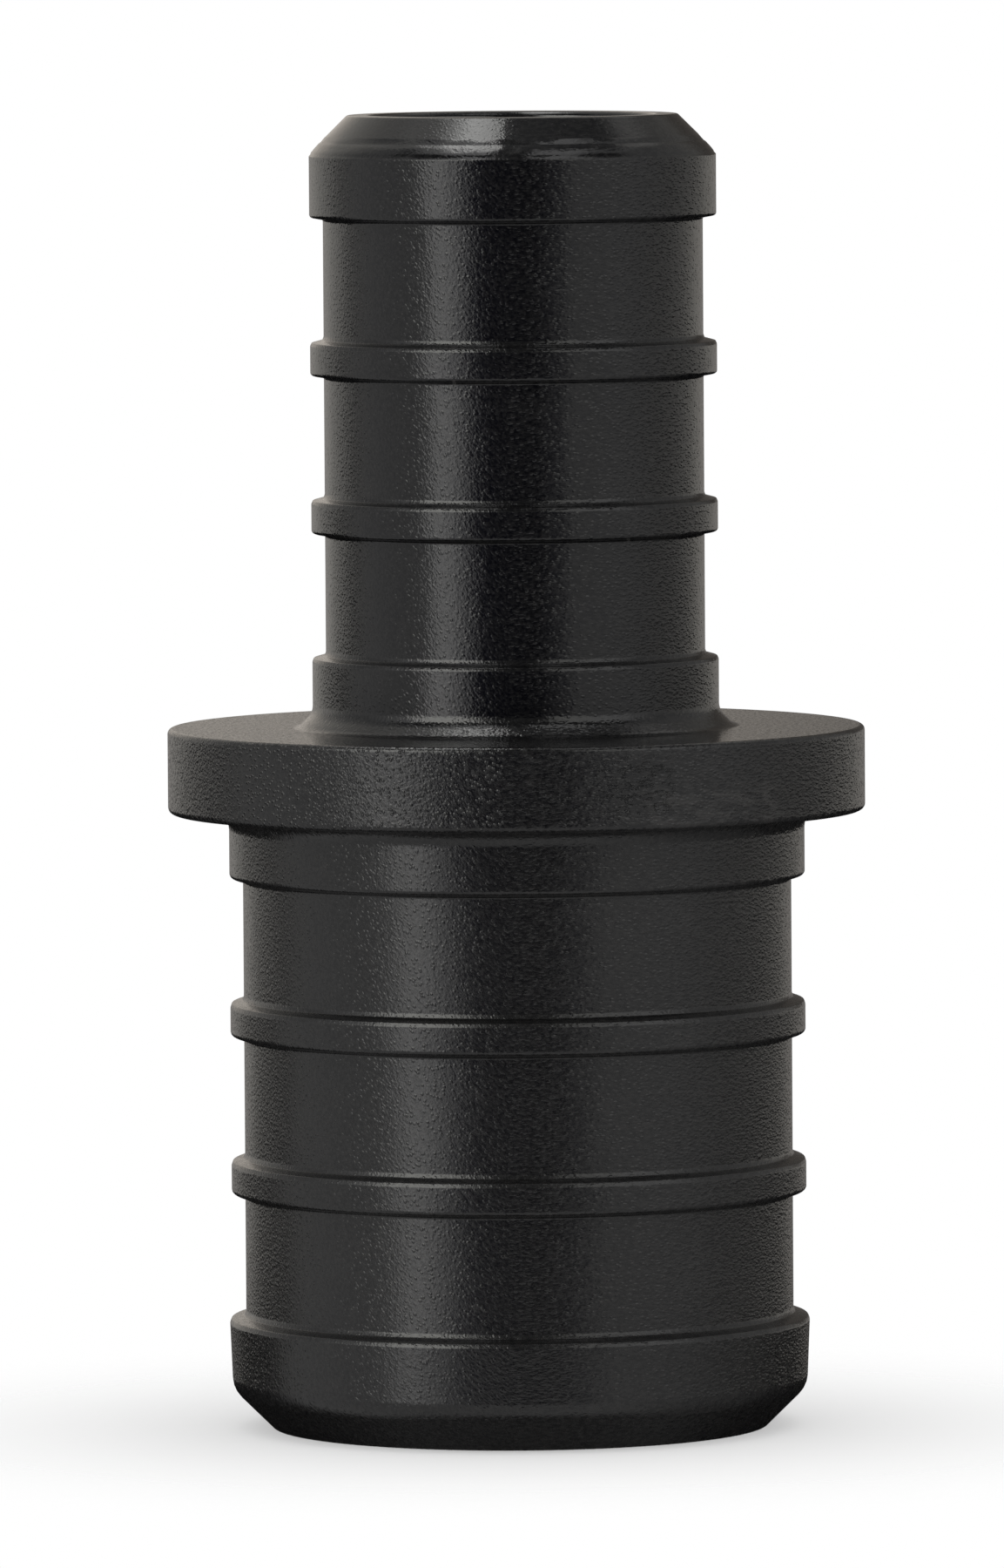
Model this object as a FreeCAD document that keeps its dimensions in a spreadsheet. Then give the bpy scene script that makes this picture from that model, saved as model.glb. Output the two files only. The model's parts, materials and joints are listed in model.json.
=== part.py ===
import FreeCAD, Part
import os
import Sketcher

# Hose barb reducer: one black moulding with a ribbed insert at each end and a flange between
# them. A 1/2 in size plastic tube goes on the upper insert and a 3/4 in size tube on the lower
# one, and each is crimped over the ribs. The whole form is turned about Z. Z = 0 is the face of
# the large end, on which the part stands, and the small end points up.

doc = FreeCAD.newDocument("hose_barb_reducer")
sheet = doc.addObject("Spreadsheet::Sheet", "Sizes")

SIZES = (
    # Flange between the two inserts, a stop for both tubes
    ("flange_thickness", "2.5"),
    ("flange_reach", "1.8"),
    ("flange_edge_break", "0.2"),
    # Small insert, measured over its ribs and along Z
    ("small_barb_diameter", "12.0"),
    ("small_rib_height", "0.4"),
    ("small_rib_length", "0.85"),
    ("small_groove_length", "3.8"),
    ("small_rib_count", "2"),
    ("small_collar_length", "1.95"),
    ("small_land_length", "3.0"),
    ("small_upper_flank", "0.2"),
    ("small_lower_flank", "0.07"),
    ("small_foot_round", "0.6"),
    ("small_lead_length", "1.0"),
    ("small_lead_depth", "1.1"),
    ("small_shoulder_length", "0.36"),
    ("small_shoulder_depth", "0.18"),
    ("small_wall", "1.5"),
    # Large insert, measured the same way
    ("large_barb_diameter", "17.0"),
    ("large_rib_height", "0.4"),
    ("large_rib_length", "0.8"),
    ("large_groove_length", "3.87"),
    ("large_rib_count", "2"),
    ("large_collar_length", "1.9"),
    ("large_land_length", "3.1"),
    ("large_upper_flank", "0.28"),
    ("large_lower_flank", "0.1"),
    ("large_foot_round", "0.5"),
    ("large_lead_length", "0.98"),
    ("large_lead_depth", "1.15"),
    ("large_shoulder_length", "0.52"),
    ("large_shoulder_depth", "0.21"),
    ("large_wall", "1.7"),
    # Waterway: two straight bores joined by a cone inside the flange
    ("throat_length", "2.5"),
    ("mouth_break", "0.2"),
)

for row, (alias, number) in enumerate(SIZES, start=1):
    sheet.set("A%d" % row, alias)
    sheet.set("B%d" % row, number)
    sheet.setAlias("B%d" % row, alias)
doc.recompute()

# Radii, each an expression on the sheet
SMALL_CREST = "Sizes.small_barb_diameter / 2"
SMALL_FLOOR = SMALL_CREST + " - Sizes.small_rib_height"
SMALL_SHOULDER = SMALL_CREST + " - Sizes.small_shoulder_depth"
SMALL_FACE = SMALL_CREST + " - Sizes.small_lead_depth"
SMALL_BORE = SMALL_FLOOR + " - Sizes.small_wall"
LARGE_CREST = "Sizes.large_barb_diameter / 2"
LARGE_FLOOR = LARGE_CREST + " - Sizes.large_rib_height"
LARGE_SHOULDER = LARGE_CREST + " - Sizes.large_shoulder_depth"
LARGE_FACE = LARGE_CREST + " - Sizes.large_lead_depth"
LARGE_BORE = LARGE_FLOOR + " - Sizes.large_wall"
FLANGE_RIM = LARGE_CREST + " + Sizes.flange_reach"
# A rib's section starts halfway into the wall, so that it joins the tube all round
SMALL_ROOT = SMALL_FLOOR + " - Sizes.small_wall / 2"
LARGE_ROOT = LARGE_FLOOR + " - Sizes.large_wall / 2"

# Heights of the large insert, from its end face up to the flange
BASE = "0"
LARGE_PITCH = "(Sizes.large_groove_length + Sizes.large_rib_length)"
LARGE_LEAD = "Sizes.large_lead_length"
LARGE_LEAD_END = LARGE_LEAD + " + Sizes.large_shoulder_length"
LARGE_LAND = "Sizes.large_land_length"
LARGE_RIB_LOW = LARGE_LAND + " + Sizes.large_groove_length"
LARGE_RIB_HIGH = LARGE_RIB_LOW + " + Sizes.large_rib_length"
LARGE_COLLAR = LARGE_RIB_LOW + " + Sizes.large_rib_count * " + LARGE_PITCH
FLANGE_LOW = LARGE_COLLAR + " + Sizes.large_collar_length"

# Heights of the small insert, from the flange up to its end face
FLANGE_HIGH = FLANGE_LOW + " + Sizes.flange_thickness"
SMALL_PITCH = "(Sizes.small_groove_length + Sizes.small_rib_length)"
SMALL_COLLAR = FLANGE_HIGH + " + Sizes.small_collar_length"
SMALL_RIB_LOW = SMALL_COLLAR + " + Sizes.small_groove_length"
SMALL_RIB_HIGH = SMALL_RIB_LOW + " + Sizes.small_rib_length"
SMALL_LAND = SMALL_RIB_LOW + " + Sizes.small_rib_count * " + SMALL_PITCH
TOP = SMALL_LAND + " + Sizes.small_land_length"
SMALL_LEAD = TOP + " - Sizes.small_lead_length"
SMALL_LEAD_END = SMALL_LEAD + " - Sizes.small_shoulder_length"

AXIS = "0"
# How near an edge has to lie to the radius and height that it is looked up by, in mm
MATCH = 1e-4

body = doc.addObject("PartDesign::Body", "reducer_body")
body.Label = "reducer_body"
planes = {feature.Role: feature for feature in body.Origin.OriginFeatures}


def value(expression):
    """The number that an expression on the sheet comes to."""
    return float(body.evalExpression(expression))


def turned_section(name, corners):
    """A closed section in the XZ plane, each corner given as (radius, height) expressions."""
    sketch = body.newObject("Sketcher::SketchObject", name)
    sketch.AttachmentSupport = [(planes["XZ_Plane"], "")]
    sketch.MapMode = "FlatFace"
    count = len(corners)
    points = [FreeCAD.Vector(value(radius), value(height), 0) for radius, height in corners]
    for index in range(count):
        sketch.addGeometry(Part.LineSegment(points[index], points[(index + 1) % count]), False)
    for index in range(count):
        sketch.addConstraint(Sketcher.Constraint("Coincident", index, 2, (index + 1) % count, 1))
    for index, (radius, height) in enumerate(corners):
        fix_radius(sketch, index, radius, corners[index - 1][0] if index else None)
        fix_height(sketch, index, height, corners[index - 1][1] if index else None)
    doc.recompute()
    return sketch


def fix_radius(sketch, index, radius, radius_before):
    """Holds a corner on the axis, above or below the corner before it, or at its own radius."""
    if radius == radius_before:
        sketch.addConstraint(Sketcher.Constraint("Vertical", index - 1))
    elif radius == AXIS:
        sketch.addConstraint(Sketcher.Constraint("PointOnObject", index, 1, -2))
    else:
        number = sketch.addConstraint(Sketcher.Constraint("DistanceX", -1, 1, index, 1, value(radius)))
        sketch.setExpression("Constraints[%d]" % number, radius)


def fix_height(sketch, index, height, height_before):
    """Holds a corner on the base line, level with the corner before it, or at its own height."""
    if height == height_before:
        sketch.addConstraint(Sketcher.Constraint("Horizontal", index - 1))
    elif height == BASE:
        sketch.addConstraint(Sketcher.Constraint("PointOnObject", index, 1, -1))
    else:
        number = sketch.addConstraint(Sketcher.Constraint("DistanceY", -1, 1, index, 1, value(height)))
        sketch.setExpression("Constraints[%d]" % number, height)


def turn(kind, name, sketch):
    """Turns a section once round the Z axis, to add (Revolution) or to cut (Groove)."""
    feature = body.newObject("PartDesign::" + kind, name)
    feature.Profile = sketch
    feature.ReferenceAxis = (sketch, ["V_Axis"])
    feature.Angle = 360
    body.Tip = feature
    doc.recompute()
    return feature


def repeat_up(name, rib, sketch, count, pitch):
    """Repeats a rib up the insert."""
    pattern = body.newObject("PartDesign::LinearPattern", name)
    pattern.Originals = [rib]
    pattern.Direction = (sketch, ["V_Axis"])
    pattern.Mode = "Spacing"
    pattern.setExpression("Offset", pitch)
    pattern.setExpression("Occurrences", count)
    body.Tip = pattern
    doc.recompute()
    return pattern


def round_edge_name(shape, radius, height):
    """The name of the round edge of a shape that has this radius and lies at this height."""
    for number, edge in enumerate(shape.Edges, start=1):
        if not isinstance(edge.Curve, Part.Circle):
            continue
        if abs(edge.Curve.Radius - radius) < MATCH and abs(edge.Curve.Center.z - height) < MATCH:
            return "Edge%d" % number
    raise ValueError("no round edge of radius %.3f at height %.3f" % (radius, height))


def dress(kind, name, dimension, size, edges):
    """A Fillet or Chamfer on round edges, each edge given as (radius, height) expressions."""
    base = body.Tip
    feature = body.newObject("PartDesign::" + kind, name)
    names = [round_edge_name(base.Shape, value(radius), value(height)) for radius, height in edges]
    feature.Base = (base, names)
    feature.setExpression(dimension, size)
    body.Tip = feature
    doc.recompute()
    return feature


# Solid core: end land and lead of each insert, groove floors, collars and the flange. A lead is a
# cone that ends in a shallower shoulder, over which the tube is pushed
core_section = turned_section("core_section", (
    (AXIS, BASE),
    (LARGE_FACE, BASE),
    (LARGE_SHOULDER, LARGE_LEAD),
    (LARGE_CREST, LARGE_LEAD_END),
    (LARGE_CREST, LARGE_LAND),
    (LARGE_FLOOR, LARGE_LAND + " + Sizes.large_upper_flank"),
    (LARGE_FLOOR, LARGE_COLLAR + " - Sizes.large_lower_flank"),
    (LARGE_CREST, LARGE_COLLAR),
    (LARGE_CREST, FLANGE_LOW),
    (FLANGE_RIM, FLANGE_LOW),
    (FLANGE_RIM, FLANGE_HIGH),
    (SMALL_CREST, FLANGE_HIGH),
    (SMALL_CREST, SMALL_COLLAR),
    (SMALL_FLOOR, SMALL_COLLAR + " + Sizes.small_upper_flank"),
    (SMALL_FLOOR, SMALL_LAND + " - Sizes.small_lower_flank"),
    (SMALL_CREST, SMALL_LAND),
    (SMALL_CREST, SMALL_LEAD_END),
    (SMALL_SHOULDER, SMALL_LEAD),
    (SMALL_FACE, TOP),
    (AXIS, TOP),
))
core = turn("Revolution", "core", core_section)

# Narrow ribs of the large insert. The flank that faces up slopes more than the one that faces down
large_rib_section = turned_section("large_rib_section", (
    (LARGE_ROOT, LARGE_RIB_LOW + " - Sizes.large_lower_flank"),
    (LARGE_FLOOR, LARGE_RIB_LOW + " - Sizes.large_lower_flank"),
    (LARGE_CREST, LARGE_RIB_LOW),
    (LARGE_CREST, LARGE_RIB_HIGH),
    (LARGE_FLOOR, LARGE_RIB_HIGH + " + Sizes.large_upper_flank"),
    (LARGE_ROOT, LARGE_RIB_HIGH + " + Sizes.large_upper_flank"),
))
large_rib = turn("Revolution", "large_rib", large_rib_section)
large_ribs = repeat_up("large_ribs", large_rib, large_rib_section, "Sizes.large_rib_count", LARGE_PITCH)

# Narrow ribs of the small insert
small_rib_section = turned_section("small_rib_section", (
    (SMALL_ROOT, SMALL_RIB_LOW + " - Sizes.small_lower_flank"),
    (SMALL_FLOOR, SMALL_RIB_LOW + " - Sizes.small_lower_flank"),
    (SMALL_CREST, SMALL_RIB_LOW),
    (SMALL_CREST, SMALL_RIB_HIGH),
    (SMALL_FLOOR, SMALL_RIB_HIGH + " + Sizes.small_upper_flank"),
    (SMALL_ROOT, SMALL_RIB_HIGH + " + Sizes.small_upper_flank"),
))
small_rib = turn("Revolution", "small_rib", small_rib_section)
small_ribs = repeat_up("small_ribs", small_rib, small_rib_section, "Sizes.small_rib_count", SMALL_PITCH)

# Waterway: the large bore up to the flange, a cone, and the small bore out of the top
solid_volume = small_ribs.Shape.Volume
waterway_section = turned_section("waterway_section", (
    (AXIS, BASE),
    (LARGE_BORE, BASE),
    (LARGE_BORE, FLANGE_LOW),
    (SMALL_BORE, FLANGE_LOW + " + Sizes.throat_length"),
    (SMALL_BORE, TOP),
    (AXIS, TOP),
))
waterway = turn("Groove", "waterway", waterway_section)
if waterway.Shape.Volume >= solid_volume:
    raise ValueError("the waterway cut nothing out of the body")

# Inside corner between each collar and the flange
dress("Fillet", "large_collar_foot", "Radius", "Sizes.large_foot_round", [(LARGE_CREST, FLANGE_LOW)])
dress("Fillet", "small_collar_foot", "Radius", "Sizes.small_foot_round", [(SMALL_CREST, FLANGE_HIGH)])

# Broken edges: the rim of the flange, and the mouths of the two bores
dress("Chamfer", "flange_edges", "Size", "Sizes.flange_edge_break",
      [(FLANGE_RIM, FLANGE_LOW), (FLANGE_RIM, FLANGE_HIGH)])
dress("Chamfer", "mouth_edges", "Size", "Sizes.mouth_break", [(LARGE_BORE, BASE), (SMALL_BORE, TOP)])

for item in doc.Objects:
    if "Invalid" in item.State or "Error" in item.State:
        raise ValueError("%s failed: %s" % (item.Name, item.State))
if body.Shape.isNull() or not body.Shape.isValid() or len(body.Shape.Solids) != 1:
    raise ValueError("%s is not one valid solid" % body.Label)

os.makedirs("parts", exist_ok=True)
body.Shape.exportStep(os.path.join("parts", body.Label + ".step"))
print("%s: %.1f mm3, %s" % (body.Label, body.Shape.Volume, body.Shape.BoundBox))
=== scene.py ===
import bpy
import json
import math
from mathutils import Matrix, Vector


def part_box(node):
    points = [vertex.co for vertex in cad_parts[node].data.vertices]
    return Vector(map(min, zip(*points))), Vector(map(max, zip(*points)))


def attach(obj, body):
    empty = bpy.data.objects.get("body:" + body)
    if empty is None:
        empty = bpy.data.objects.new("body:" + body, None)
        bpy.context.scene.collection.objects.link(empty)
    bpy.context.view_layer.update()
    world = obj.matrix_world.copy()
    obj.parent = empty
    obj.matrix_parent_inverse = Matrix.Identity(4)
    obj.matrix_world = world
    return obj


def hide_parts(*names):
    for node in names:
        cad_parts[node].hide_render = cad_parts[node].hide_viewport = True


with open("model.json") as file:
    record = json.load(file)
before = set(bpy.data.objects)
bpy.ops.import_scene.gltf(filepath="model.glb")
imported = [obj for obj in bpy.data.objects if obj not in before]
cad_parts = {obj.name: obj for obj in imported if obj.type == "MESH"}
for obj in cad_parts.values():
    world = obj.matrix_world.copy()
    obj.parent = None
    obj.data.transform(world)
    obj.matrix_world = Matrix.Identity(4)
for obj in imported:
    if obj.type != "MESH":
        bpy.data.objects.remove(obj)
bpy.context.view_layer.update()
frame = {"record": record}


# The moulding
# One injection-moulded piece of black engineering polymer: a ribbed insert at each end, a flange
# between them as the stop for both tubes, and a waterway through it. Two mould halves meet in the
# YZ plane and two core pins shape the bores, so only the outside has a parting line.

MM = 0.001
mounts = {mount["name"]: mount for mount in frame["record"]["mounts"]}
low_corner, high_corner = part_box("reducer_body")

# Levels and radii that the frame gives. The skin keeps the rim and its parting line in the box
SKIN = 0.005 * MM
RIM = high_corner.x - SKIN
TOP = high_corner.z
FLANGE_LOW = mounts["large_tube_stop"]["pos_m"][2]
FLANGE_HIGH = mounts["small_tube_stop"]["pos_m"][2]
LARGE_CREST = mounts["large_barb"]["dims"]["r_mm"] * MM
SMALL_CREST = mounts["small_barb"]["dims"]["r_mm"] * MM

# Large insert, in the order of its height
LARGE_END_CREST = LARGE_CREST + 0.08 * MM
LARGE_FLOOR = LARGE_CREST - 0.4 * MM
LARGE_BORE = LARGE_FLOOR - 1.7 * MM
LARGE_END_RADIUS = LARGE_CREST - 1.18 * MM
LARGE_LEAD = 1.16 * MM
LARGE_LAND = 3.1 * MM
LARGE_GROOVE = 3.87 * MM
LARGE_RIB = 0.8 * MM
LARGE_FLANKS = (0.1 * MM, 0.36 * MM)

# Small insert
SMALL_FLOOR = SMALL_CREST - 0.4 * MM
SMALL_BORE = SMALL_FLOOR - 1.5 * MM
SMALL_END_RADIUS = SMALL_CREST - 1.13 * MM
SMALL_COLLAR = 1.95 * MM
SMALL_GROOVE = 3.8 * MM
SMALL_RIB = 0.85 * MM
SMALL_FLANKS = (0.07 * MM, 0.29 * MM)
GROOVES = 3

# Upper flank of a rib: a steep step between two gentle slopes. The heights are shares of the
# flank and the depth of each slope is a share of the groove's depth
FLANK_START = 0.03
STEP_FROM = 0.36
STEP_TO = 0.66
SLOPE_DEPTH = 0.1

# Roundings. A pair goes from the lower edge to the upper one, as a pair of flanks does
EDGE_ROUND = 0.07 * MM
UPPER_FOOT_ROUND = 0.16 * MM
LOWER_FOOT_ROUND = 0.06 * MM
STEP_ROUND = 0.045 * MM
LARGE_CREST_ROUNDS = (0.13 * MM, 0.12 * MM)
SMALL_CREST_ROUNDS = (0.1 * MM, 0.1 * MM)
LARGE_COLLAR_FOOT = 0.5 * MM
SMALL_COLLAR_CONE = 0.45 * MM
SMALL_CONE_ROUNDS = (0.35 * MM, 0.5 * MM)
FLANGE_ROUNDS = (0.18 * MM, 0.15 * MM)
LEAD_ROUND = 0.75 * MM
END_ROUND = 0.14 * MM
SMALL_MOUTH_ROUND = 0.21 * MM
BORE_ROUND = 0.5 * MM

# Shoulder of the small lead: an uneven band between two hairlines left by the mould insert
SHOULDER_DROP = 0.06 * MM
SHOULDER_ROUND = 0.03 * MM
BAND_LOW = (SMALL_CREST - 0.035 * MM, TOP - 1.14 * MM)
BAND_HIGH = (SMALL_CREST - 0.345 * MM, TOP - 0.78 * MM)
BAND_SHARES = (0.0, 0.14, 0.35, 0.5, 0.65, 0.86, 1.0)
BAND_BULGE = 0.008 * MM
BAND_FADE = 0.2
BAND_REACH = 0.01 * MM
HAIRLINE = 0.016 * MM


def groove_and_rib(low, below, crest, floor, groove, flanks, rounds):
    """Corners of a groove, from the radius below it at the height low to the crest above it.

    The rib below ends in a steep flank with a gentle slope over and under it.
    """
    lower_flank, upper_flank = flanks
    lower_round, upper_round = rounds
    slope = SLOPE_DEPTH * (below - floor)
    return [
        (below, low + FLANK_START * upper_flank, upper_round),
        (below - slope, low + STEP_FROM * upper_flank, STEP_ROUND),
        (floor + slope, low + STEP_TO * upper_flank, STEP_ROUND),
        (floor, low + upper_flank, UPPER_FOOT_ROUND),
        (floor, low + groove - lower_flank, LOWER_FOOT_ROUND),
        (crest, low + groove, lower_round),
    ]


def shoulder_band():
    """The bulged band with a hairline dip at each edge."""
    low = Vector(BAND_LOW)
    high = Vector(BAND_HIGH)
    along = high - low
    outward = Vector((along.y, -along.x)).normalized()
    points = []
    for share in BAND_SHARES:
        rise = BAND_BULGE * math.sin(math.pi * share)
        if share in (0.0, 1.0):
            rise = -HAIRLINE
        point = low + along * share + outward * rise
        points.append((point.x, point.y, 0.0))
    fade = high.lerp(Vector((SMALL_END_RADIUS, TOP)), BAND_FADE)
    return points + [(fade.x, fade.y, 0.0)]


def outside_corners():
    """Corners (radius, height, rounding) of the outside, from the large end to the small one."""
    corners = [
        (LARGE_END_RADIUS, 0.0, EDGE_ROUND),
        (LARGE_CREST, LARGE_LEAD, LEAD_ROUND),
    ]
    for step in range(GROOVES):
        low = LARGE_LAND + step * (LARGE_GROOVE + LARGE_RIB)
        below = LARGE_CREST if step else LARGE_END_CREST
        corners += groove_and_rib(
            low, below, LARGE_CREST, LARGE_FLOOR, LARGE_GROOVE, LARGE_FLANKS, LARGE_CREST_ROUNDS)
    corners += [
        (LARGE_CREST, FLANGE_LOW, LARGE_COLLAR_FOOT),
        (RIM, FLANGE_LOW, FLANGE_ROUNDS[0]),
        (RIM, FLANGE_HIGH, FLANGE_ROUNDS[1]),
        (SMALL_CREST + SMALL_COLLAR_CONE, FLANGE_HIGH, SMALL_CONE_ROUNDS[0]),
        (SMALL_CREST, FLANGE_HIGH + SMALL_COLLAR_CONE, SMALL_CONE_ROUNDS[1]),
    ]
    for step in range(GROOVES):
        low = FLANGE_HIGH + SMALL_COLLAR + step * (SMALL_GROOVE + SMALL_RIB)
        corners += groove_and_rib(
            low, SMALL_CREST, SMALL_CREST, SMALL_FLOOR, SMALL_GROOVE, SMALL_FLANKS, SMALL_CREST_ROUNDS)
    corners += [(SMALL_CREST, BAND_LOW[1] - SHOULDER_DROP, SHOULDER_ROUND)]
    corners += shoulder_band()
    corners += [(SMALL_END_RADIUS, TOP, END_ROUND)]
    return corners


def waterway_corners():
    """Corners of the bores, from the small mouth down to the large one."""
    return [
        (SMALL_BORE, TOP, SMALL_MOUTH_ROUND),
        (SMALL_BORE, FLANGE_HIGH, BORE_ROUND),
        (LARGE_BORE, FLANGE_LOW, BORE_ROUND),
        (LARGE_BORE, 0.0, END_ROUND),
    ]


# How finely the section is divided
ARC_STEP = math.radians(15)
LEAST_ARC_STEPS = 3
GUARD = 0.03 * MM
RUN_STEP = 1.6 * MM


def rounded_corner(before, corner, after, rounding):
    """Points of the arc that rounds one corner of the section."""
    if rounding == 0.0:
        return [corner]
    back = (before - corner).normalized()
    ahead = (after - corner).normalized()
    half = back.angle(ahead) / 2
    middle = corner + (back + ahead).normalized() * (rounding / math.sin(half))
    start = corner + back * (rounding / math.tan(half)) - middle
    turn = math.pi - 2 * half
    if start.x * (corner - middle).y - start.y * (corner - middle).x < 0:
        turn = -turn
    steps = max(LEAST_ARC_STEPS, math.ceil(abs(turn) / ARC_STEP))
    points = []
    for step in range(steps + 1):
        angle = turn * step / steps
        spoke = Vector((
            start.x * math.cos(angle) - start.y * math.sin(angle),
            start.x * math.sin(angle) + start.y * math.cos(angle),
        ))
        points.append(middle + spoke)
    return points


def straight_run(start, end):
    """Points between two corners: one close to each, which keeps the run flat, and a few more."""
    run = end - start
    if run.length < 4 * GUARD:
        return []
    inner = run.length - 2 * GUARD
    steps = max(1, round(inner / RUN_STEP))
    direction = run.normalized()
    return [start + direction * (GUARD + inner * step / steps) for step in range(steps + 1)]


outside = outside_corners()
corners = outside + waterway_corners()
arcs = []
for index, (radius, height, rounding) in enumerate(corners):
    before = Vector(corners[index - 1][:2])
    after = Vector(corners[(index + 1) % len(corners)][:2])
    arcs.append(rounded_corner(before, Vector((radius, height)), after, rounding))

# Each point of the section says whether the parting line and the band's unevenness reach it
section = []
parting = []
uneven = []
for index, arc in enumerate(arcs):
    following = arcs[(index + 1) % len(arcs)]
    points = arc + straight_run(arc[-1], following[0])
    section += points
    parting += [1.0 if index < len(outside) - 1 else 0.0] * len(points)
    in_band = BAND_LOW[1] - BAND_REACH < corners[index][1] < BAND_HIGH[1] + BAND_REACH
    uneven += [1.0 if in_band else 0.0] * len(points)
section.append(section[0])
parting.append(parting[0])
uneven.append(uneven[0])

section_mesh = bpy.data.meshes.new("reducer_section")
section_mesh.from_pydata([(point.x, 0.0, point.y) for point in section], [], [])
section_mesh.attributes.new("parting", "FLOAT", "POINT").data.foreach_set("value", parting)
section_mesh.attributes.new("uneven", "FLOAT", "POINT").data.foreach_set("value", uneven)
section_object = bpy.data.objects.new("reducer_section", section_mesh)
bpy.context.scene.collection.objects.link(section_object)


def add_node(tree, kind, **settings):
    """A node of the given kind, with its settings made."""
    made = tree.nodes.new(kind)
    for name, setting in settings.items():
        setattr(made, name, setting)
    return made


def feed(tree, socket, item):
    """Links another node's output to a socket, or sets a plain value on it."""
    if isinstance(item, bpy.types.NodeSocket):
        tree.links.new(item, socket)
    else:
        socket.default_value = item


def calculate(tree, operation, *values):
    """A Math node on numbers or other nodes' outputs."""
    made = add_node(tree, "ShaderNodeMath", operation=operation)
    for socket, item in zip(made.inputs, values):
        feed(tree, socket, item)
    return made.outputs[0]


# Swelling of the uneven band: how many swells go round it, how fine they are, and how fast they
# change from one row of the section to the next
SWELLS_ROUND = 5.0
SWELL_DETAIL = 2.0
SWELL_CHANGE = 600.0
MERGE_REACH = 1e-7


def turned_form():
    """A tree that turns the section's points once round Z, closer together at the parting line."""
    tree = bpy.data.node_groups.new("turned_form", "GeometryNodeTree")
    face = tree.interface
    face.new_socket("Section", in_out="INPUT", socket_type="NodeSocketGeometry")
    for name, kind in (
        ("Steps round", "NodeSocketInt"),
        ("Crowding at parting", "NodeSocketFloat"),
        ("Parting ridge height", "NodeSocketFloat"),
        ("Parting ridge width", "NodeSocketFloat"),
        ("Unevenness", "NodeSocketFloat"),
        ("Finish", "NodeSocketMaterial"),
    ):
        face.new_socket(name, in_out="INPUT", socket_type=kind)
    face.new_socket("Form", in_out="OUTPUT", socket_type="NodeSocketGeometry")
    entry = add_node(tree, "NodeGroupInput").outputs
    exit_node = add_node(tree, "NodeGroupOutput")
    link = tree.links.new

    count = add_node(tree, "GeometryNodeAttributeDomainSize", component="MESH")
    link(entry["Section"], count.inputs["Geometry"])
    columns = calculate(tree, "ADD", entry["Steps round"], 1.0)
    grid = add_node(tree, "GeometryNodeMeshGrid")
    link(count.outputs["Point Count"], grid.inputs["Vertices X"])
    link(columns, grid.inputs["Vertices Y"])

    number = add_node(tree, "GeometryNodeInputIndex").outputs[0]
    row = calculate(tree, "FLOOR", calculate(tree, "DIVIDE", calculate(tree, "ADD", number, 0.5), columns))
    column = calculate(tree, "SUBTRACT", number, calculate(tree, "MULTIPLY", row, columns))

    place = add_node(tree, "GeometryNodeSampleIndex", data_type="FLOAT_VECTOR")
    link(entry["Section"], place.inputs["Geometry"])
    link(add_node(tree, "GeometryNodeInputPosition").outputs[0], place.inputs["Value"])
    link(row, place.inputs["Index"])
    split = add_node(tree, "ShaderNodeSeparateXYZ")
    link(place.outputs["Value"], split.inputs[0])
    radius = split.outputs["X"]

    def section_share(name):
        """A named share of the section's points, carried to the turned points."""
        share = add_node(tree, "GeometryNodeInputNamedAttribute", data_type="FLOAT")
        share.inputs["Name"].default_value = name
        carried = add_node(tree, "GeometryNodeSampleIndex", data_type="FLOAT")
        link(entry["Section"], carried.inputs["Geometry"])
        link(share.outputs["Attribute"], carried.inputs["Value"])
        link(row, carried.inputs["Index"])
        return carried.outputs["Value"]

    # Turning is a share of a whole turn, shifted so that the columns crowd at plus and minus Y
    even = calculate(tree, "DIVIDE", calculate(tree, "MULTIPLY", column, math.tau), entry["Steps round"])
    wave = calculate(tree, "SINE", calculate(tree, "MULTIPLY", even, 2.0))
    angle = calculate(tree, "ADD", even, calculate(tree, "MULTIPLY", wave, entry["Crowding at parting"]))
    angle_cosine = calculate(tree, "COSINE", angle)
    angle_sine = calculate(tree, "SINE", angle)
    across = calculate(tree, "MULTIPLY", radius, angle_cosine)
    nearness = calculate(tree, "DIVIDE", calculate(tree, "ABSOLUTE", across), entry["Parting ridge width"])
    fall = calculate(tree, "EXPONENT", calculate(tree, "MULTIPLY", nearness, -1.0))
    ridge = calculate(tree, "MULTIPLY", calculate(
        tree, "MULTIPLY", fall, entry["Parting ridge height"]), section_share("parting"))

    # The uneven band swells and sinks round the turn, each of its rows in its own way
    round_way = add_node(tree, "ShaderNodeCombineXYZ")
    link(angle_cosine, round_way.inputs["X"])
    link(angle_sine, round_way.inputs["Y"])
    link(calculate(tree, "MULTIPLY", split.outputs["Z"], SWELL_CHANGE), round_way.inputs["Z"])
    swell = add_node(tree, "ShaderNodeTexNoise", noise_dimensions="3D")
    swell.inputs["Scale"].default_value = SWELLS_ROUND
    swell.inputs["Detail"].default_value = SWELL_DETAIL
    link(round_way.outputs[0], swell.inputs["Vector"])
    swollen = calculate(tree, "MULTIPLY", calculate(
        tree, "MULTIPLY", calculate(tree, "SUBTRACT", swell.outputs["Fac"], 0.5), entry["Unevenness"]),
        section_share("uneven"))
    full = calculate(tree, "ADD", calculate(tree, "ADD", radius, ridge), swollen)

    together = add_node(tree, "ShaderNodeCombineXYZ")
    link(calculate(tree, "MULTIPLY", full, angle_cosine), together.inputs["X"])
    link(calculate(tree, "MULTIPLY", full, angle_sine), together.inputs["Y"])
    link(split.outputs["Z"], together.inputs["Z"])
    moved = add_node(tree, "GeometryNodeSetPosition")
    link(grid.outputs["Mesh"], moved.inputs["Geometry"])
    link(together.outputs[0], moved.inputs["Position"])

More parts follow.
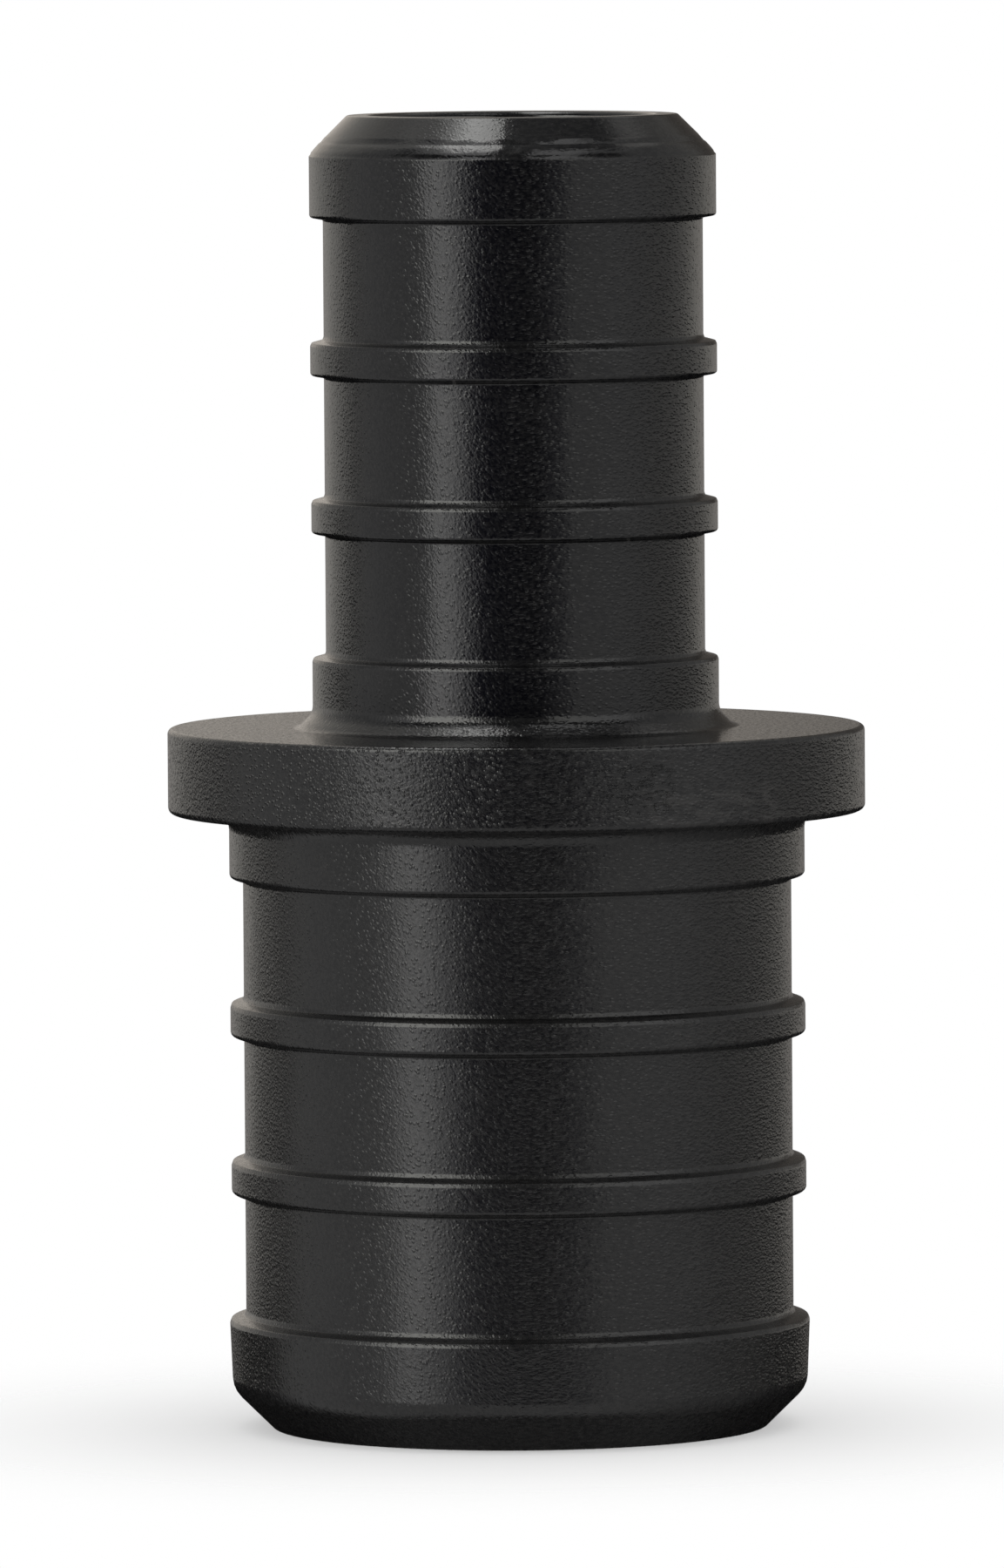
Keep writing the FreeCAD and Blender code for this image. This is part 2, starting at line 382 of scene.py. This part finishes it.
    merged = add_node(tree, "GeometryNodeMergeByDistance")
    merged.inputs["Distance"].default_value = MERGE_REACH
    link(moved.outputs[0], merged.inputs["Geometry"])
    smooth = add_node(tree, "GeometryNodeSetShadeSmooth")
    link(merged.outputs[0], smooth.inputs["Geometry"])
    real = add_node(tree, "GeometryNodeRealizeInstances")
    link(smooth.outputs[0], real.inputs[0])
    finished = add_node(tree, "GeometryNodeSetMaterial")
    link(real.outputs[0], finished.inputs["Geometry"])
    link(entry["Finish"], finished.inputs["Material"])
    link(finished.outputs[0], exit_node.inputs[0])
    return tree


def ranged(tree, value, low, high, to_low=0.0, to_high=1.0):
    """A value eased from one pair of limits to another."""
    eased = add_node(tree, "ShaderNodeMapRange", interpolation_type="SMOOTHSTEP")
    for name, item in (("Value", value), ("From Min", low), ("From Max", high),
                       ("To Min", to_low), ("To Max", to_high)):
        feed(tree, eased.inputs[name], item)
    return eased.outputs[0]


def blended(tree, share, first, second):
    """The first value where the share is 0 and the second where it is 1."""
    both = add_node(tree, "ShaderNodeMix", data_type="FLOAT")
    for number, item in ((0, share), (2, first), (3, second)):
        feed(tree, both.inputs[number], item)
    return both.outputs[0]


# The finish: dark polymer with the fine speckle of a spark-eroded mould. The half at minus X came
# out of a coarser, shinier mould half, and the other one is smoother with faint turning streaks
finish = bpy.data.materials.new("moulded_black_polymer")
finish.use_nodes = True
paint = finish.node_tree
surface = paint.nodes["Principled BSDF"]
surface.inputs["IOR"].default_value = 1.5

spot = add_node(paint, "ShaderNodeTexCoord").outputs["Object"]
split_spot = add_node(paint, "ShaderNodeSeparateXYZ")
paint.links.new(spot, split_spot.inputs[0])
at_x, at_y, at_z = split_spot.outputs

# Spots to the metre of each pattern, and the shares of a cell where a dome has its top and foot
GRAIN_SPOTS = 12500.0
DOME_SPOTS = 8600.0
GLOSS_SPOTS = 9500.0
SCRATCH_SPOTS = 5200.0
SMEAR_SPOTS = 2600.0
RUBBED_SPOTS = 420.0
SPECKLE_ROUGHNESS = 0.65
DOME_TOP = 0.1
DOME_FOOT = 0.42

# The left half's grain leans by this turn about Y. The other patterns are drawn out round the part
LEFT_LEAN = -45.0
SIDE_EDGE = 0.03 * MM
PART_EDGE = 0.1 * MM


def leaning_spot(turn, stretch):
    """The place on the piece, turned about Y and then stretched along its axes."""
    mapping = add_node(paint, "ShaderNodeMapping", vector_type="TEXTURE")
    mapping.inputs["Rotation"].default_value = (0.0, math.radians(turn), 0.0)
    mapping.inputs["Scale"].default_value = stretch
    paint.links.new(spot, mapping.inputs["Vector"])
    return mapping.outputs[0]


def speckle(spots, detail, stretch, turn=0.0):
    """Noise at so many spots to the metre."""
    noise = add_node(paint, "ShaderNodeTexNoise", noise_dimensions="3D")
    noise.inputs["Scale"].default_value = spots
    noise.inputs["Detail"].default_value = detail
    noise.inputs["Roughness"].default_value = SPECKLE_ROUGHNESS
    paint.links.new(leaning_spot(turn, stretch), noise.inputs["Vector"])
    return noise.outputs["Fac"]


def domes(turn, stretch):
    """1 at the tops of scattered tiny domes, falling to 0 at their feet."""
    cells = add_node(paint, "ShaderNodeTexVoronoi", voronoi_dimensions="3D")
    cells.inputs["Scale"].default_value = DOME_SPOTS
    paint.links.new(leaning_spot(turn, stretch), cells.inputs["Vector"])
    return ranged(paint, cells.outputs["Distance"], DOME_TOP, DOME_FOOT, 1.0, 0.0)


right_side = ranged(paint, at_x, -SIDE_EDGE, SIDE_EDGE)
above_flange = ranged(paint, at_z, FLANGE_HIGH - PART_EDGE, FLANGE_HIGH + PART_EDGE)
below_flange = ranged(paint, at_z, FLANGE_LOW + PART_EDGE, FLANGE_LOW - PART_EDGE)
on_lead = ranged(paint, at_z, BAND_LOW[1] - PART_EDGE, BAND_LOW[1])


def by_part(flange, large, small):
    """A value with its own level on the flange, the large insert and the small insert."""
    return blended(paint, above_flange, blended(paint, below_flange, flange, large), small)


# Relief, in shares of the deepest: the flange's left half is the coarsest
RELIEF_DEPTH = 0.022 * MM
LEFT_LEAD_RELIEF = 0.22
RIGHT_LEAD_RELIEF = 0.15
RIGHT_DOMES = 0.5
left_relief = blended(paint, on_lead, by_part(flange=0.75, large=0.42, small=0.46), LEFT_LEAD_RELIEF)
right_relief = blended(paint, on_lead, by_part(flange=0.62, large=0.5, small=0.46), RIGHT_LEAD_RELIEF)
left_grain = speckle(GRAIN_SPOTS, detail=1.5, turn=LEFT_LEAN, stretch=(1.0, 1.0, 1.5))
right_grain = speckle(GRAIN_SPOTS, detail=1.5, stretch=(2.4, 2.4, 1.0))
left_domes = calculate(
    paint, "MULTIPLY", domes(turn=LEFT_LEAN, stretch=(1.0, 1.0, 1.4)),
    by_part(flange=1.0, large=0.6, small=0.4))
right_domes = calculate(paint, "MULTIPLY", domes(turn=0.0, stretch=(1.6, 1.6, 1.0)), RIGHT_DOMES)
left_height = calculate(
    paint, "MULTIPLY", calculate(paint, "ADD", left_grain, left_domes), left_relief)
right_height = calculate(
    paint, "MULTIPLY", calculate(paint, "ADD", right_grain, right_domes), right_relief)
grain_height = blended(paint, right_side, left_height, right_height)

# Gloss: the small insert is the shiniest, the large one the dullest, and dots vary it
GLOSSIER_DOT = -0.08
DULLER_DOT = 0.18
dullness = by_part(flange=0.18, large=0.2, small=0.115)
dots = ranged(
    paint, speckle(GLOSS_SPOTS, detail=2.0, turn=LEFT_LEAN, stretch=(1.0, 1.0, 1.4)),
    low=0.38, high=0.66, to_low=GLOSSIER_DOT, to_high=DULLER_DOT)
relief = blended(paint, right_side, left_relief, right_relief)
paint.links.new(calculate(paint, "MULTIPLY_ADD", dots, relief, dullness), surface.inputs["Roughness"])


def within(value, low, high, soft):
    """1 where a value lies between two limits, fading to 0 over a soft edge at each."""
    rising = ranged(paint, value, low - soft, low)
    falling = ranged(paint, value, high, high + soft, 1.0, 0.0)
    return calculate(paint, "MULTIPLY", rising, falling)


def in_front(x_range, z_range, soft):
    """1 on a patch of the front, given by its ranges of X and Z and its soft edge in millimetres."""
    x_low, x_high = x_range
    z_low, z_high = z_range
    patch = calculate(paint, "MULTIPLY",
                      within(at_x, x_low * MM, x_high * MM, soft * MM),
                      within(at_z, z_low * MM, z_high * MM, soft * MM))
    return calculate(paint, "MULTIPLY", patch, calculate(paint, "LESS_THAN", at_y, 0.0))


# Wear: scuffs and a pale smear on the flange, a nick under two of the small ribs, a hairline
# scratch on the large collar
SCUFF_HEIGHT = -1.6
scratches = ranged(
    paint, speckle(SCRATCH_SPOTS, detail=3.0, stretch=(2.2, 2.2, 0.7)), low=0.52, high=0.6)
scuffs = calculate(paint, "MULTIPLY", scratches, in_front((2.9, 4.6), (18.95, 20.1), soft=0.5))
smears = ranged(
    paint, speckle(SMEAR_SPOTS, detail=3.0, stretch=(2.0, 2.0, 0.7)), low=0.42, high=0.62)
smear = calculate(paint, "MULTIPLY", smears, in_front((4.4, 7.7), (18.5, 19.3), soft=0.4))
nicks = calculate(
    paint, "MAXIMUM",
    in_front((-1.56, -1.5), (30.99, 31.14), soft=0.03),
    in_front((3.46, 3.52), (26.36, 26.46), soft=0.03),
)
hairline_scratch = in_front((2.86, 2.87), (16.9, 17.8), soft=0.03)
bump = add_node(paint, "ShaderNodeBump")
bump.inputs["Strength"].default_value = 1.0
bump.inputs["Distance"].default_value = RELIEF_DEPTH
paint.links.new(
    calculate(paint, "MULTIPLY_ADD", scuffs, SCUFF_HEIGHT, grain_height), bump.inputs["Height"])
paint.links.new(bump.outputs[0], surface.inputs["Normal"])

# Colour: near black, a shade browner where handling has rubbed it, with painted shade darkening the grain's
# hollows
DARKEST = (0.0026, 0.0026, 0.0030, 1.0)
PALEST = (0.024, 0.023, 0.022, 1.0)
RUBBED_SHARE = 0.12
HOLLOW_SHADE_SHARE = 0.3
SMEAR_SHARE = 0.5
DARK_SHARE = 0.2
rubbed = ranged(
    paint, speckle(RUBBED_SPOTS, detail=4.0, stretch=(1.6, 1.6, 1.0)), low=0.5, high=0.75)
# Painted shade: the colour follows the relief's grain, darker in its hollows and paler on its tops
grain_hollow_shade = ranged(paint, blended(paint, right_side, left_grain, right_grain), low=0.34, high=0.66)
pale_share = by_part(flange=0.04, large=0.1, small=-0.06)
dark_marks = calculate(paint, "MAXIMUM", scuffs, hairline_scratch)
for mark, mark_share in ((rubbed, RUBBED_SHARE), (grain_hollow_shade, HOLLOW_SHADE_SHARE), (smear, SMEAR_SHARE),
                         (nicks, 1.0), (dark_marks, -DARK_SHARE)):
    pale_share = calculate(paint, "MULTIPLY_ADD", mark, mark_share, pale_share)
colour = add_node(paint, "ShaderNodeMix", data_type="RGBA")
colour.inputs[6].default_value = DARKEST
colour.inputs[7].default_value = PALEST
paint.links.new(pale_share, colour.inputs[0])
paint.links.new(colour.outputs[2], surface.inputs["Base Color"])

# The section becomes the moulding
form = turned_form()
modifier = section_object.modifiers.new("turned_form", "NODES")
modifier.node_group = form
sockets = {item.name: item.identifier for item in form.interface.items_tree if item.in_out == "INPUT"}
modifier[sockets["Steps round"]] = 216
modifier[sockets["Crowding at parting"]] = 0.45
modifier[sockets["Parting ridge height"]] = 0.0012 * MM
modifier[sockets["Parting ridge width"]] = 0.1 * MM
modifier[sockets["Unevenness"]] = 0.09 * MM
modifier[sockets["Finish"]] = finish
moulding_mesh = bpy.data.meshes.new_from_object(
    section_object.evaluated_get(bpy.context.evaluated_depsgraph_get()))
bpy.data.objects.remove(section_object)
moulding_mesh.name = "reducer_moulding"
moulding = bpy.data.objects.new("reducer_moulding", moulding_mesh)
bpy.context.scene.collection.objects.link(moulding)
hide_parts("reducer_body")
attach(moulding, "root")


# The floor
# A plain pale disc that the part stands on. Towards its edge it fades into the white behind it,
# so that only the part's own soft shadow shows, and from below it can't be seen.

FLOOR_RADIUS = 40 * MM
FLOOR_CLEAR = 0.02 * MM
FLOOR_STEPS = 96
FADE_START = 8 * MM
FADE_END = 26 * MM
FLOOR_DENSITY = 0.6

floor_mesh = bpy.data.meshes.new("floor")
ring = [
    (FLOOR_RADIUS * math.cos(math.tau * step / FLOOR_STEPS),
     FLOOR_RADIUS * math.sin(math.tau * step / FLOOR_STEPS), low_corner.z - FLOOR_CLEAR)
    for step in range(FLOOR_STEPS)
]
floor_mesh.from_pydata(ring, [], [list(range(FLOOR_STEPS))])
floor = bpy.data.objects.new("floor", floor_mesh)
bpy.context.scene.collection.objects.link(floor)
floor.visible_glossy = False

pale = bpy.data.materials.new("pale_floor")
pale.use_nodes = True
floor_tree = pale.node_tree
floor_surface = floor_tree.nodes["Principled BSDF"]
floor_surface.inputs["Base Color"].default_value = (0.95, 0.95, 0.95, 1.0)
floor_surface.inputs["Roughness"].default_value = 0.9
floor_surface.inputs["Specular IOR Level"].default_value = 0.0
floor_spot = add_node(floor_tree, "ShaderNodeTexCoord")
reach = add_node(floor_tree, "ShaderNodeVectorMath", operation="LENGTH")
floor_tree.links.new(floor_spot.outputs["Object"], reach.inputs[0])
density = ranged(floor_tree, reach.outputs["Value"], FADE_START, FADE_END, FLOOR_DENSITY, 0.0)
floor_side = add_node(floor_tree, "ShaderNodeNewGeometry")
from_above = calculate(floor_tree, "SUBTRACT", 1.0, floor_side.outputs["Backfacing"])
floor_tree.links.new(calculate(floor_tree, "MULTIPLY", density, from_above), floor_surface.inputs["Alpha"])
floor_mesh.materials.append(pale)


# The studio light
# A white room lights the part evenly from all round. Polished surfaces mirror its panels: a tall one
# left of the camera, a plain wall right of it, a dark gap and cornice where the camera stands, a lamp
# panel left of the middle of the ceiling, and a fainter strip along the ceiling's front edge.

world = bpy.data.worlds.new("white_room")
bpy.context.scene.world = world
world.use_nodes = True
room = world.node_tree
room.nodes.clear()
way = add_node(room, "ShaderNodeTexCoord")
split_way = add_node(room, "ShaderNodeSeparateXYZ")
room.links.new(way.outputs["Generated"], split_way.inputs[0])
way_x, way_y, way_z = split_way.outputs
way_down = calculate(room, "MULTIPLY", way_z, -1.0)
toward = calculate(room, "ARCTAN2", way_x, calculate(room, "MULTIPLY", way_y, -1.0))
share_round = calculate(room, "MULTIPLY_ADD", toward, 1 / math.tau, 0.5)
share_across = calculate(room, "MULTIPLY_ADD", way_x, 0.5, 0.5)


def level_ramp(share, levels):
    """A ramp of the room's levels from pairs of a place from 0 to 1 and a colour."""
    ramp = add_node(room, "ShaderNodeValToRGB")
    ramp.color_ramp.interpolation = "EASE"
    while len(ramp.color_ramp.elements) < len(levels):
        ramp.color_ramp.elements.new(0.5)
    for stop, (place, level) in zip(ramp.color_ramp.elements, levels):
        stop.position = place
        stop.color = (*level, 1.0)
    room.links.new(share, ramp.inputs[0])
    return ramp.outputs[0]


def laid_over(below, above, share):
    """One layer of the room laid over another by a share from 0 to 1."""
    both = add_node(room, "ShaderNodeMix", data_type="RGBA")
    room.links.new(share, both.inputs[0])
    for number, layer in ((6, below), (7, above)):
        plain = not isinstance(layer, bpy.types.NodeSocket)
        feed(room, both.inputs[number], (*layer, 1.0) if plain else layer)
    return both.outputs[2]


def by_degrees(*levels):
    """Levels given by the angle round from the camera, minus to the left."""
    return [(degrees / 360 + 0.5, level) for degrees, level in levels]


def in_both(first, second):
    """A share of the room that two other shares have in common."""
    return calculate(room, "MULTIPLY", first, second)


# Heights in the room, here and below, are the sine of the angle over the horizon
walls = level_ramp(share_round, by_degrees(
    (-180, (0.2, 0.19, 0.18)),
    (-167, (0.38, 0.36, 0.34)),
    (-157, (0.5, 0.48, 0.45)),
    (-148, (0.6, 0.58, 0.54)),
    (-128, (0.74, 0.72, 0.68)),
    (-110, (0.54, 0.53, 0.51)),
    (-92, (0.55, 0.55, 0.55)),
    (-55, (0.52, 0.52, 0.52)),
    (-51, (0.7, 0.7, 0.7)),
    (-47, (2.4, 2.39, 2.37)),
    (-40, (2.3, 2.28, 2.26)),
    (-30, (1.1, 1.1, 1.12)),
    (-20, (0.04, 0.04, 0.08)),
    (-12, (0.0, 0.0, 0.02)),
    (14, (0.0, 0.0, 0.01)),
    (28, (0.14, 0.14, 0.16)),
    (38, (0.5, 0.5, 0.5)),
    (72, (0.62, 0.62, 0.62)),
    (110, (0.5, 0.49, 0.47)),
    (146, (0.54, 0.52, 0.48)),
    (157, (0.42, 0.4, 0.37)),
    (167, (0.32, 0.3, 0.28)),
    (180, (0.2, 0.19, 0.18)),
))
upper_walls = level_ramp(share_round, by_degrees(
    (-180, (0.2, 0.19, 0.17)),
    (-150, (0.6, 0.58, 0.54)),
    (-100, (0.4, 0.4, 0.4)),
    (-66, (0.9, 0.9, 0.9)),
    (-54, (4.0, 4.0, 3.8)),
    (-30, (4.0, 4.0, 3.8)),
    (-16, (0.5, 0.5, 0.5)),
    (-6, (0.12, 0.12, 0.12)),
    (16, (0.12, 0.12, 0.12)),
    (30, (1.3, 1.3, 1.25)),
    (60, (1.2, 1.2, 1.2)),
    (90, (0.4, 0.4, 0.4)),
    (180, (0.2, 0.19, 0.17)),
))
upper_height = ranged(room, way_z, 0.06, 0.22)
studio = laid_over(walls, upper_walls, upper_height)

# The cornice is dark at the front
CORNICE = (0.06, 0.06, 0.06)
at_front = ranged(room, way_y, 0.1, -0.1)
cornice_height = ranged(room, way_z, 0.62, 0.7)
studio = laid_over(studio, CORNICE, in_both(at_front, cornice_height))

# The ceiling has the lamp panel in its front half, and it reaches lower at the back
FAR_CEILING = (0.6, 0.59, 0.57)
CEILING_SLOPE = 0.35
ceiling = level_ramp(share_across, (
    (0.0, (0.7, 0.69, 0.66)),
    (0.3, (0.8, 0.79, 0.76)),
    (0.34, (2.4, 2.4, 2.35)),
    (0.385, (5.6, 5.6, 5.5)),
    (0.43, (4.6, 4.6, 4.5)),
    (0.467, (4.2, 4.2, 4.1)),
    (0.478, (0.25, 0.25, 0.25)),
    (0.72, (0.14, 0.14, 0.14)),
    (0.76, (0.5, 0.5, 0.5)),
    (1.0, (0.9, 0.9, 0.9)),
))
ceiling = laid_over(ceiling, FAR_CEILING, ranged(room, way_y, 0.28, 0.42))
ceiling_height = calculate(room, "MULTIPLY_ADD", way_y, CEILING_SLOPE, way_z)
studio = laid_over(studio, ceiling, ranged(room, ceiling_height, 0.84, 0.93))

# The strip along the ceiling's front edge is nearest to the camera in the middle
STRIP_BEND = -1.1
front_edge = calculate(room, "MULTIPLY_ADD", calculate(room, "MULTIPLY", way_x, way_x), STRIP_BEND, way_y)
front_strip = level_ramp(share_across, (
    (0.25, (0.8, 0.8, 0.8)),
    (0.35, (1.3, 1.3, 1.3)),
    (0.42, (2.0, 2.0, 2.0)),
    (0.45, (0.2, 0.2, 0.2)),
    (0.55, (0.1, 0.1, 0.1)),
    (0.58, (1.3, 1.3, 1.3)),
    (0.67, (1.2, 1.2, 1.2)),
    (0.75, (0.5, 0.5, 0.5)),
))
strip_height = ranged(room, way_z, 0.84, 0.88)
studio = laid_over(studio, front_strip, in_both(ranged(room, front_edge, -0.12, -0.15), strip_height))

# Behind the part the wall is dim just over the horizon, and darker to the right
DIM_LEFT = (0.75, 0.69, 0.62)
DIM_RIGHT = (0.1, 0.09, 0.08)
behind = ranged(room, way_y, 0.75, 0.92)
dim_wall = laid_over(DIM_LEFT, DIM_RIGHT, ranged(room, way_x, -0.1, 0.02))
studio = laid_over(studio, dim_wall, in_both(behind, ranged(room, way_z, -0.01, 0.07)))

# Below the horizon lies a pale table, with a dark corner at each side, black far behind the part
# and dark right under it. The corners are given by the angle round from the camera, in radians
TABLE = (0.55, 0.55, 0.55)
BLACK = (0.0, 0.0, 0.0)
UNDER_PART = (0.06, 0.06, 0.06)
RIGHT_CORNER_SHARE = 0.8
studio = laid_over(studio, TABLE, ranged(room, way_down, 0.13, 0.3))
left_corner = in_both(ranged(room, toward, -2.65, -2.4), ranged(room, toward, -2.0, -1.8, 1.0, 0.0))
right_corner = in_both(ranged(room, toward, 0.6, 2.0), ranged(room, toward, 2.5, 2.8, 1.0, 0.0))
corners_share = calculate(room, "MULTIPLY_ADD", right_corner, RIGHT_CORNER_SHARE, left_corner)
studio = laid_over(studio, BLACK, in_both(corners_share, ranged(room, way_down, 0.068, 0.084)))
far_table = in_both(ranged(room, way_y, 0.3, 0.6), ranged(room, way_down, 0.085, 0.12))
studio = laid_over(studio, BLACK, far_table)
studio = laid_over(studio, UNDER_PART, ranged(room, way_down, 0.8, 0.96))

white = add_node(room, "ShaderNodeBackground")
white.inputs["Color"].default_value = (1.0, 1.0, 1.0, 1.0)
mirrored = add_node(room, "ShaderNodeBackground")
room.links.new(studio, mirrored.inputs["Color"])
ray = add_node(room, "ShaderNodeLightPath")
gloss_or_glass = calculate(room, "MAXIMUM", ray.outputs["Is Glossy Ray"], ray.outputs["Is Transmission Ray"])
seen = add_node(room, "ShaderNodeMixShader")
room.links.new(gloss_or_glass, seen.inputs[0])
room.links.new(white.outputs[0], seen.inputs[1])
room.links.new(mirrored.outputs[0], seen.inputs[2])
room_out = add_node(room, "ShaderNodeOutputWorld")
room.links.new(seen.outputs[0], room_out.inputs["Surface"])


# The camera
# A long lens stands about half a metre in front of the part, a little to its right and above it,
# and looks down at it as in the photograph. The picture is upright, so its height sets the view.

CAMERA_ROUND = math.radians(2.2)
CAMERA_DOWN = math.radians(3.705)
CAMERA_ROLL = math.radians(0.383)
CAMERA_DISTANCE = 455.66 * MM
AIM_SIDE = -0.4275 * MM
AIM_HEIGHT = 18.995 * MM
SENSOR_HEIGHT = 36.0
LENS = 354.3
NEAREST = 10 * MM
FARTHEST = 10.0

camera_data = bpy.data.cameras.new("camera")
camera_data.sensor_fit = "VERTICAL"
camera_data.sensor_height = SENSOR_HEIGHT
camera_data.lens = LENS
camera_data.clip_start = NEAREST
camera_data.clip_end = FARTHEST
camera = bpy.data.objects.new("camera", camera_data)
bpy.context.scene.collection.objects.link(camera)
sideways = Vector((math.cos(CAMERA_ROUND), math.sin(CAMERA_ROUND), 0.0))
backwards = Vector((
    math.sin(CAMERA_ROUND) * math.cos(CAMERA_DOWN),
    -math.cos(CAMERA_ROUND) * math.cos(CAMERA_DOWN),
    math.sin(CAMERA_DOWN),
))
aim_point = sideways * AIM_SIDE + Vector((0.0, 0.0, AIM_HEIGHT))
camera.location = aim_point + backwards * CAMERA_DISTANCE
turned = (-backwards).to_track_quat("-Z", "Y").to_matrix().to_4x4()
camera.rotation_euler = turned.to_euler()
camera.rotation_euler.rotate_axis("Z", -CAMERA_ROLL)
bpy.context.scene.camera = camera
bpy.context.scene.view_settings.view_transform = "Standard"
